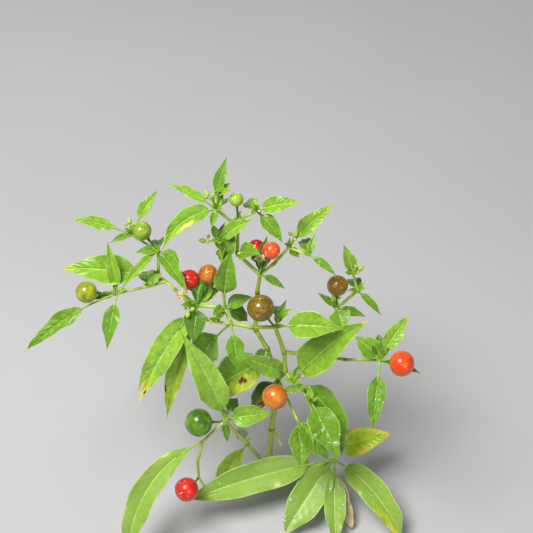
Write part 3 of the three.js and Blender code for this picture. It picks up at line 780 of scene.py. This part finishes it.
def make_materials():
    """Every material that a tone of a face can name."""
    looks = {}
    for tone, (blade, rib) in BLADES.items():
        rough = WET_ROUGH if tone == "wet" else BLADE_ROUGH
        mottling = LOW_MOTTLE if tone == "low" else BLADE_MOTTLE
        looks[tone] = blade_material(f"leaf_{tone}", blade, rough, mottling)
        looks[f"{tone}_rib"] = blade_material(f"rib_{tone}", rib, VEIN_ROUGH)
        between = tuple(lerp(b, r, VEIN_PALER) for b, r in zip(blade, rib))
        looks[f"{tone}_vein"] = blade_material(f"vein_{tone}", between, VEIN_ROUGH)
    for tone, colour in PATCHES.items():
        looks[tone] = blade_material(f"leaf_{tone}", colour, PATCH_ROUGH)
    for tone, tones in FRUIT.items():
        looks[f"fruit_{tone}"] = fruit_material(f"fruit_{tone}", tones, tone.startswith("brown"))
    for tone, (name, tones, rough, scale, more) in SKINS.items():
        looks[tone] = skin_material(name, tones, rough, scale, **more)
    for tone, (name, sheen_tint, hiding) in RAIN.items():
        looks[tone] = rain_material(name, sheen_tint, hiding)
    return looks


def knot_swelling(along, knot_shares, total):
    """How far a limb stands out beside its knots, as a share of its radius."""
    reach = NODE_REACH * KNOT_SWELL_REACH / total
    return sum(KNOT_SWELL * np.exp(-((along - k) / reach) ** 2) for k in knot_shares)


def limb_rings(limb, rng):
    """The rings of one limb with its relief, and the tone of each face between them."""
    knots = [k.copy() for k in limb["knots"]]
    foot = knots[0]
    if foot[2] < 0:
        way = direction(*limb["steps"][0][:2])
        knots[0] = foot - way * foot[2] / way[2]
    places = smooth_curve(straight_steps(knots), LIMB_PLACES)
    per_step = LIMB_PLACES * PLACES_PER_STEP
    lengths = np.concatenate(([0], np.cumsum(np.linalg.norm(np.diff(places, axis=0), axis=1))))
    along = lengths / lengths[-1]
    knot_shares = along[per_step::per_step][:-1]
    radius = lerp(limb["radii"][0], limb["radii"][1], along)
    radius = radius * (1 + knot_swelling(along, knot_shares, lengths[-1]))
    turns = turns_of(LIMB_SIDES)
    drift = rng.uniform(0, ANY_PHASE, 4)
    ridges = sum(height * np.cos(count * turns + drift[number] + along[:, None] * winding)
                 for number, (count, height, winding) in enumerate(RIDGES))
    wander = 2 * np.sin(turns * 2 + drift[2])
    wrinkle = WRINKLE_HEIGHT * np.sin(lengths[:, None] * WRINKLE_PITCH + wander)
    grain = rng.normal(0, BARK_GRAIN, (len(places), LIMB_SIDES))
    shape = radius[:, None] * (1 + ridges + wrinkle + grain)
    if limb.get("flare"):
        spread = FLARE_RADIUS * np.exp(-lengths / FLARE_HEIGHT)
        lobes = 1 + FLARE_LOBE_DEPTH * np.cos(FLARE_LOBES * turns + drift[3])
        shape = shape + spread[:, None] * lobes
    rings = tube_rings(places, shape, LIMB_SIDES)
    if limb.get("flare"):
        rings[0, :, 2] = 0
        rings[..., 2] = np.maximum(rings[..., 2], 0)
    tones = [limb["bark"]] * ((len(rings) - 1) * LIMB_SIDES + 2)
    for k in knot_shares:
        for ring in np.flatnonzero(np.abs(along - k) * lengths[-1] < NODE_REACH):
            tones[ring * LIMB_SIDES:(ring + 1) * LIMB_SIDES] = ["node"] * LIMB_SIDES
    return rings, tones


def midline(root, row):
    """Places along a leaf. Its pitch falls by the droop and its heading turns by the sweep."""
    _, heading, rise, length, _, droop, sweep = row[:7]
    half_bend = math.radians(math.hypot(droop, sweep)) / 2
    piece = length * half_bend / math.sin(half_bend) / BEND_PIECES
    places = [np.asarray(root, float)]
    for i in range(BEND_PIECES):
        bend = (i + 0.5) / BEND_PIECES - 0.5
        places.append(places[-1] + direction(heading + sweep * bend, rise - droop * bend) * piece)
    return np.array(places)


def outline(along, powers):
    """Half the width of a blade, as a share of its widest, at a share of its length."""
    base_power, tip_power = powers
    widest = base_power / (base_power + tip_power)
    return (along / widest) ** base_power * ((1 - along) / (1 - widest)) ** tip_power


def full_row(row):
    """A leaf's row with the usual droop, sweep, stalk share and roll where it gives none."""
    usual = (None,) * 5 + (USUAL_DROOP, 0, STALK_SHARE, 0)
    return tuple(row) + usual[len(row):]


def blade_rows(veins):
    """Shares along the rib where the mesh has a row, and whether a vein's strip follows each."""
    half = VEIN_WIDTH / 2
    shares = [FIRST_ROW]
    on_vein = [False]
    for vein in range(veins):
        for offset in (-half, half, *BETWEEN_VEINS):
            share = (vein + FIRST_VEIN + offset) / (veins + PAST_VEINS)
            if FIRST_ROW < share < LAST_VEIN_ROW:
                shares.append(share)
                on_vein.append(offset < 0)
    shares.append(LAST_ROW)
    return np.array(shares), on_vein


def refined(values, times):
    """The same run of values, with each gap in it cut evenly into that many."""
    places = np.linspace(0, len(values) - 1, times * (len(values) - 1) + 1)
    return np.interp(places, np.arange(len(values)), values)


def mesh_lines(length, veins, finer):
    """Where a blade's mesh has lines, along and across, and whether a vein's strip follows each row."""
    shares, on_vein = blade_rows(veins)
    inner_columns = SHORT_COLUMNS if length <= LONG_BLADE else LONG_COLUMNS
    half_columns = [RIB_WIDTH, *inner_columns, MARGIN_FROM, 1]
    across = np.array([-v for v in reversed(half_columns)] + [0] + half_columns)
    if finer:
        shares = refined(shares, MARKED_ROWS)
        on_vein = [strip for strip in on_vein for _ in range(MARKED_ROWS)]
        across = refined(across, MARKED_COLUMNS)
    return shares, across, on_vein


def blade_ways(line, roll, rng):
    """The ways across a blade and up from it at each place along its leaf, with a seeded twist."""
    ahead = unit(np.gradient(line, axis=0))
    side = unit(np.cross(ahead, LIGHT))
    over = np.cross(side, ahead)
    steps = np.linspace(0, 1, len(line))
    turned = roll + rng.uniform(-TWIST_MOST, TWIST_MOST) * (steps - TWIST_LEVEL)
    twist = np.radians(turned)[:, None]
    return (side * np.cos(twist) - over * np.sin(twist),
            over * np.cos(twist) + side * np.sin(twist))


def vein_relief(u, v, veins):
    """How far the blade is domed between its side veins and sunk along them."""
    vein_phase = u * (veins + PAST_VEINS) - FIRST_VEIN
    near_vein = np.exp(-((vein_phase - np.round(vein_phase)) / 0.11) ** 2) * (np.abs(v) < 0.96)
    quilt = np.abs(np.sin(math.pi * vein_phase)) * (1 - v ** 2) * np.minimum(np.abs(v) * 5, 1)
    return quilt - 0.5 * near_vein * (1 - np.abs(v))


def margin_waves(along, v, length, phase):
    """A slow and a quick wave that grow toward the margin, each out of step on the two halves."""
    slow = SLOW_WAVE * length * np.sin(along * 11 + phase[1] + 0.8 * np.sign(v)) * np.abs(v) ** 2.5
    quick = QUICK_WAVE * length * np.sin(along * 23 + phase[2] * np.sign(v)) * np.abs(v) ** 4
    return slow + quick


def make_blade(row, root, tone, powers, rng, marks=()):
    """A blade's two skins as points, faces and tones, with the places and ways up of its upper skin."""
    _, _, _, length, width, _, _, stalk_share, roll = row
    small = length <= LONG_BLADE
    veins = VEINS_SHORT if small else VEINS_LONG
    shares, across, on_vein = mesh_lines(length, veins, bool(marks))
    line = midline(root, row)
    side, over = blade_ways(line, roll, rng)
    phase = rng.uniform(0, ANY_PHASE, 3)

    u, v = np.meshgrid(shares, across, indexing="ij")
    along = u + VEIN_SLANT * u * (1 - u) * np.abs(v) ** VEIN_CURVE
    half = outline(along, powers) * width / 2
    wobble = 1 + WOBBLE * np.sin(along * 17 + phase[0] * np.sign(v)) * np.abs(v) ** 3
    x = v * half * wobble
    rounding = FOLD_ROUNDING * width
    fold = FOLD * (np.sqrt(x ** 2 + rounding ** 2) - rounding)
    relief = VEIN_RELIEF * min(length, VEIN_RELIEF_LONGEST) * vein_relief(u, v, veins)
    if tone == "low":
        relief = relief * LOW_LEAF_RELIEF
    relief = relief * np.minimum(half / (0.2 * width + 0.01), 1)
    rib = -RIB_DEPTH * min(length, RIB_LONGEST) * np.exp(-(v / 0.10) ** 2)
    wave = margin_waves(along, v, length, phase) * np.minimum(half / (0.3 * width), 1)
    z = fold + relief + rib + wave

    share = stalk_share + (1 - stalk_share) * along
    steps = np.linspace(0, 1, len(line))

    def on_leaf(field):
        return np.stack([np.interp(share, steps, field[:, i]) for i in range(3)], axis=-1)

    upward = unit(on_leaf(over))
    top = on_leaf(line) + unit(on_leaf(side)) * x[..., None] + upward * z[..., None]
    rib_below = 0.9 * STALK_RADIUS * np.exp(-(v / 0.09) ** 2) * (1 - along) * min(width / 12, 1.2)
    bottom = top - upward * (BLADE_THICKNESS * (1 - 0.4 * v ** 2) + rib_below)[..., None]
    points = np.concatenate((top.reshape(-1, 3), bottom.reshape(-1, 3)))
    veined = not small and tone != "low"
    faces, tones = blade_faces(along, across, tone, marks, [veined and strip for strip in on_vein])
    return points, faces, tones, (top, upward)


def blade_faces(along, across, tone, marks, on_vein):
    """The faces of both skins and of the rim between them, with the tone of each."""
    rows, columns = along.shape
    count = rows * columns
    faces = []
    tones = []
    for r in range(rows - 1):
        for c in range(columns - 1):
            a = r * columns + c
            b = a + columns
            face_tone = face_tone_of(tone, across[c], across[c + 1], on_vein[r])
            face_tone = marked(face_tone, marks, along[r, c], (across[c] + across[c + 1]) / 2)
            faces.append((a, a + 1, b + 1, b))
            faces.append((count + a, count + b, count + b + 1, count + a + 1))
            tones += [face_tone, face_tone]
    rim = [r * columns for r in range(rows)]
    rim += [(rows - 1) * columns + c for c in range(1, columns)]
    rim += [r * columns + columns - 1 for r in range(rows - 2, -1, -1)]
    rim += [c for c in range(columns - 2, 0, -1)]
    for a, b in zip(rim, rim[1:] + rim[:1]):
        faces.append((a, b, count + b, count + a))
        tones.append(f"{tone}_rib")
    return faces, tones


def face_tone_of(tone, left, right, on_vein):
    """The blade's tone, or its paler one on the rib and along the margin, or its middle one on a vein."""
    inner, outer = sorted((abs(left), abs(right)))
    if outer <= RIB_WIDTH or inner >= MARGIN_FROM:
        return f"{tone}_rib"
    if on_vein and outer < VEIN_REACH:
        return f"{tone}_vein"
    return tone


def marked(tone, marks, along, v):
    """The tone of the last mark that covers this place of the blade, or the tone it has."""
    for mark_along, mark_v, size_along, size_v, mark_tone in marks:
        ragged = 1 + 0.3 * math.sin(along * 33 + v * 7) + 0.25 * math.sin(along * 71 - v * 15)
        if ((along - mark_along) / size_along) ** 2 + ((v - mark_v) / size_v) ** 2 < ragged:
            tone = mark_tone
    return tone


def add_stalk(pile, row, root):
    """A leaf's stalk, thick where it leaves the twig and sunk a little way into the blade."""
    width, stalk_share = row[4], row[7]
    line = midline(root, row)
    shares = np.linspace(0, stalk_share + STALK_SINK, len(STALK_TAPER))
    steps = np.linspace(0, 1, len(line))
    places = np.stack([np.interp(shares, steps, line[:, i]) for i in range(3)], axis=-1)
    thick = STALK_RADIUS * min(0.75 + width / 40, 1.25)
    add_tube(pile, places, thick * np.array(STALK_TAPER), STALK_SIDES, "stalk")


def add_drops(pile, skin, count, widest, rng):
    """Standing drops of rain on a blade's upper skin."""
    top, upward = skin
    rows, columns = top.shape[:2]
    for _ in range(count):
        r = int(rng.integers(rows // 6, rows - rows // 5))
        c = int(rng.integers(1, columns - 1))
        radius = widest / 2 * rng.uniform(0.3, 1) ** 1.5
        add_drop(pile, top[r, c], upward[r, c], radius, radius * rng.uniform(0.5, 0.75), "drop")


def add_drop(pile, place, outward, radius, height, tone):
    profile = [(-0.1, 0), (-0.05, radius * 0.9), (height * 0.25, radius), (height * 0.6, radius * 0.82),
               (height * 0.88, radius * 0.45), (height, 0)]
    add_turned(pile, profile, place, outward, 12, tone)


def fruit_profile(radius):
    """A ball, dented under its stalk and a little opposite."""
    profile = []
    for angle in np.linspace(0, math.pi, FRUIT_RINGS):
        dent = STALK_DENT[0] * math.exp(-(angle / STALK_DENT[1]) ** 2)
        dent += FAR_DENT[0] * math.exp(-((math.pi - angle) / FAR_DENT[1]) ** 2)
        height = -math.cos(angle) * radius * 0.985
        height += dent * radius if angle < 1.5 else -dent * radius
        profile.append((height, math.sin(angle) * radius * (1 + 0.015 * math.sin(angle))))
    return profile


def add_fruit(fruits, stalks, drops, row, root, rng):
    """A round fruit with drops of rain and the small scar at its end, on its stalk."""
    _, heading, rise, reach, diameter, tone = row
    ahead = direction(heading, rise)
    middle = root + ahead * reach
    radius = diameter / 2
    add_turned(fruits, fruit_profile(radius), middle, ahead, FRUIT_SIDES, f"fruit_{tone}", FRUIT_LOBES)
    for _ in range(FRUIT_DROPS):
        outward = unit(rng.normal(size=3) * (1, 1, 0.5) + (0, -0.5, 1.1))
        size = rng.uniform(0.35, 0.8)
        add_drop(drops, middle + outward * radius * 0.99, outward, size, size * 0.6, "fruit_drop")
    scar = [(0, 0), (0.02, 0.022 * diameter), (0.14, 0.016 * diameter), (0.2, 0)]
    add_turned(stalks, scar, middle + ahead * radius * 0.945, ahead, 10, "ovary")
    add_pedicel(stalks, root, middle - ahead * radius * 0.86, ahead, reach, diameter)


def add_pedicel(pile, root, cup, ahead, reach, diameter):
    """A fruit's stalk, which thickens into a toothed cup under the fruit."""
    sag = np.array((0, 0, -PEDICEL_SAG * reach))
    places = smooth_curve([root, (root + cup) / 2 + sag, cup], PEDICEL_PLACES)
    shares = np.linspace(0, 1, len(places))
    radii = PEDICEL_RADIUS * (1.3 - 0.45 * np.minimum(shares * 4, 1)) + 0.055 * diameter * shares ** 5
    add_tube(pile, places, radii, PEDICEL_SIDES, "pedicel")
    brim = 0.27 * diameter
    bowl = [(-0.10 * diameter, 0), (-0.09 * diameter, 0.06 * diameter),
            (-0.03 * diameter, 0.17 * diameter), (0.045 * diameter, brim), (0.06 * diameter, brim * 0.97),
            (0.02 * diameter, 0.14 * diameter), (0.0, 0)]
    add_turned(pile, bowl, cup, ahead, 20, "pedicel", (5, 0.10))


def add_flower_stalk(pile, row, root, radius, tone):
    """The stalk of a bud or dead flower. Gives the way that it points, and its tip."""
    _, heading, rise, reach = row
    ahead = direction(heading, rise)
    tip = root + ahead * reach
    add_tube(pile, smooth_curve([root, (root + tip) / 2, tip], 4), radius, 8, tone)
    return ahead, tip


def add_bud(pile, row, root):
    """A closed pointed flower bud in a small cup on its stalk, with two younger ones beside it."""
    ahead, tip = add_flower_stalk(pile, row, root, BUD_STALK_RADIUS, "bud")
    for size, turn, lift in BUD_CLUSTER:
        way = ahead if size == 1 else direction(row[1] + turn, lift)
        place = tip if size == 1 else tip - ahead * 1.2 + way * 2.2
        for profile, sides, lobe_depth in ((BUD_CUP, 10, 0.08), (BUD, 12, 0.05)):
            sized = [(height * size, radius * size) for height, radius in profile]
            add_turned(pile, sized, place, way, sides, "bud", (5, lobe_depth))


def add_dead_flower(pile, row, root, rng):
    """A withered flower: curled dry petals round a dark heart, on its stalk."""
    _, heading, _, reach = row
    ahead, tip = add_flower_stalk(pile, row, root, FLOWER_STALK_RADIUS, "pedicel")
    add_turned(pile, FLOWER_HEART, tip, ahead, 10, "ovary", (3, 0.1))
    for petal in range(PETALS):
        turn = heading + petal * 360 / PETALS + rng.uniform(-18, 18)
        span = min(rng.uniform(0.4, 0.52) * reach, LONGEST_PETAL)
        petal_rise = rng.uniform(25, 75)
        petal_row = (0, turn, petal_rise, span, span * 0.8, PETAL_DROOP, PETAL_SWEEP, PETAL_STALK,
                     rng.uniform(-60, 60))
        points, faces, _, _ = make_blade(petal_row, tip, "dry", USUAL_OUTLINE, rng)
        pile.add(points, faces, "petal")


def young_leaves(knot, count, draw):
    """A seeded row of young leaves for one knot, each turned on from the one before."""
    first = draw() * 360
    rows = []
    for i in range(count):
        length = lerp(YOUNG_SHORTEST, YOUNG_LONGEST, draw())
        rows.append((knot, first + i * GOLDEN_TURN, 10 + draw() * 50, length, length * YOUNG_SLENDER))
    return rows


def far_leaf(knot, draw):
    """A leaf that hangs behind its knot, at a seeded heading, rise and length."""
    heading = FAR_HEADING + lerp(-FAR_SPREAD, FAR_SPREAD, draw())
    rise = FAR_RISE + lerp(-FAR_SPREAD, FAR_SPREAD, draw()) / 3
    length = lerp(FAR_SHORTEST, FAR_LONGEST, draw())
    return (knot, heading, rise, length, length * FAR_SLENDER)


def tiny_leaves(knot, rng):
    """The smallest leaves at a growing knot, too fine for the part's solids."""
    first = rng.uniform(0, 360)
    rows = []
    for i in range(int(rng.integers(TINY_FEWEST, TINY_MOST + 1))):
        length = rng.uniform(TINY_SHORTEST, TINY_LONGEST)
        heading = first + i * GOLDEN_TURN
        rows.append((knot, heading, rng.uniform(25, 75), length, length * TINY_SLENDER))
    return rows


def leaf_rows(sprig, knots, draw, rng):
    """A sprig's own leaves and then its seeded ones, each a full row with its tone."""
    grown = []
    for knot in range(1, knots):
        grown += young_leaves(knot, sprig.get("young", YOUNG_PER_KNOT), draw)
    if sprig.get("young") != 0:
        grown.append(far_leaf(1, draw))
        for knot in range(knots):
            grown += tiny_leaves(knot, rng)
    rows = list(zip(sprig["leaves"], sprig["tones"].split()))
    rows += [(row, "fresh" if row[3] < FAR_SHORTEST else "mid") for row in grown]
    return [(full_row(row), tone) for row, tone in rows]


def crosses(points, faces, others):
    """Whether a mesh cuts any of the other trees."""
    tree = BVHTree.FromPolygons([Vector(p) for p in points], faces)
    return any(tree.overlap(other) for other in others)


def build_limbs(looks):
    """Every limb's skin as a piece. Gives the limbs with their knots, and a tree of each skin's faces."""
    limbs = {}
    trees = []
    for number, limb in enumerate(LIMBS):
        limb = dict(limb)
        start = limbs[limb["on"][0]]["knots"][limb["on"][1]] if "on" in limb else limb["start"]
        limb["knots"] = walk(start, limb["steps"])
        rings, tones = limb_rings(limb, np.random.default_rng(LIMB_SEED + number))
        points = rings.reshape(-1, 3)
        faces = ring_faces(len(rings), LIMB_SIDES)
        pile = Pile()
        pile.add(points, faces, tones)
        pile.piece(f"{limb['name']}_bark", looks, [limb["name"]], limb["bark"])
        trees.append(BVHTree.FromPolygons([Vector(p) for p in points], faces))
        limbs[limb["name"]] = limb
    return limbs, trees


def add_twig(pile, knots, tone):
    """A sprig's twig, which tapers and is a little swollen at each knot."""
    places = smooth_curve(straight_steps(knots), TWIG_PLACES)
    radii = lerp(TWIG_RADIUS, TWIG_TIP_RADIUS, np.linspace(0, 1, len(places)))
    per_step = TWIG_PLACES * PLACES_PER_STEP
    from_knot = [min(i % per_step, per_step - i % per_step) for i in range(len(places))]
    bumps = [TWIG_KNOT_SWELL * math.exp(-steps ** 2 / 3) for steps in from_knot]
    add_tube(pile, places, radii * (1 + np.array(bumps)), TWIG_SIDES, tone)


def build_sprigs(limbs, limb_trees, looks):
    """Every sprig by the part's rule, gathered by kind, with the smallest leaves added."""
    leaves = {name: Pile() for name in LEAF_PIECES}
    stalks, fruits, flowers, drops = (Pile() for _ in range(4))
    for number, sprig in enumerate(SPRIGS, 1):
        limb_name, knot_number = sprig["on"]
        draw = seeded_random(number)
        rng = np.random.default_rng(number)
        knots = walk(limbs[limb_name]["knots"][knot_number], sprig["steps"])
        add_twig(stalks, knots, "old_bark" if sprig["name"] == "dry_twig" else "bark")
        usual = OBLONG_OUTLINE if sprig.get("oblong") else USUAL_OUTLINE
        for index, (row, tone) in enumerate(leaf_rows(sprig, len(knots), draw, rng)):
            key = (sprig["name"], index)
            root = knots[row[0]]
            blade = make_blade(row, root, tone, OUTLINES.get(key, usual), rng, MARKS.get(key, ()))
            points, faces, face_tones, skin = blade
            if index >= len(sprig["leaves"]) and crosses(points, faces, limb_trees):
                continue
            leaves[LEAVES_ON[limb_name]].add(points, faces, face_tones)
            add_stalk(stalks, row, root)
            if row[3] > LONG_BLADE:
                add_drops(drops, skin, *WET.get(key, USUAL_DROPS), rng)
        for row in sprig.get("fruit", ()):
            add_fruit(fruits, stalks, drops, row, knots[row[0]], rng)
        for row in sprig.get("buds", ()):
            add_bud(flowers, row, knots[row[0]])
        for row in sprig.get("dead", ()):
            add_dead_flower(flowers, row, knots[row[0]], rng)
    for name, pile in leaves.items():
        held = [sprig["name"] for sprig in SPRIGS if LEAVES_ON[sprig["on"][0]] == name]
        pile.piece(name, looks, held, "leaf")
    names = [sprig["name"] for sprig in SPRIGS]
    stalks.piece("twigs_and_stalks", looks, names, "bark")
    fruits.piece("round_fruit", looks, names, "leaf")
    flowers.piece("buds_and_dead_flowers", looks, names, "leaf")
    drops.piece("rain_drops", looks, names, "leaf")


def add_camera():
    data = bpy.data.cameras.new("camera")
    data.sensor_width = SENSOR_WIDTH
    data.lens = data.sensor_width / 2 / math.tan(math.radians(CAMERA_FIELD / 2))
    data.clip_start = NEAREST_SEEN
    camera = bpy.data.objects.new("camera", data)
    camera.location = [c * MM for c in CAMERA_PLACE]
    camera.rotation_euler = (math.radians(90 - CAMERA_DOWN), 0, 0)
    bpy.context.collection.objects.link(camera)
    bpy.context.scene.camera = camera


def add_floor():
    half = FLOOR_HALF
    corners = [(-half, -half, 0), (half, -half, 0), (half, half, 0), (-half, half, 0)]
    mesh = bpy.data.meshes.new("floor")
    mesh.from_pydata(corners, [], [(0, 1, 2, 3)])
    mesh.materials.append(floor_material())
    floor = bpy.data.objects.new("floor", mesh)
    bpy.context.collection.objects.link(floor)


def add_light(name, place, size, power, colour):
    data = bpy.data.lights.new(name, "AREA")
    data.shape = "DISK"
    data.size = size
    data.energy = power
    data.color = colour
    light = bpy.data.objects.new(name, data)
    light.location = place
    light.rotation_euler = (Vector(LIGHTS_AIM) - Vector(place)).to_track_quat("-Z", "Y").to_euler()
    bpy.context.collection.objects.link(light)


def add_studio():
    add_floor()
    for light in LIGHTS:
        add_light(*light)
    world = bpy.data.worlds.new("soft_sky")
    world.use_nodes = True
    sky = world.node_tree.nodes["Background"]
    sky.inputs["Color"].default_value = (1, 1, 1, 1)
    sky.inputs["Strength"].default_value = SKY_STRENGTH
    bpy.context.scene.world = world
    bpy.context.scene.view_settings.view_transform = "Standard"


add_camera()
materials = make_materials()
built_limbs, built_trees = build_limbs(materials)
build_sprigs(built_limbs, built_trees, materials)
add_studio()
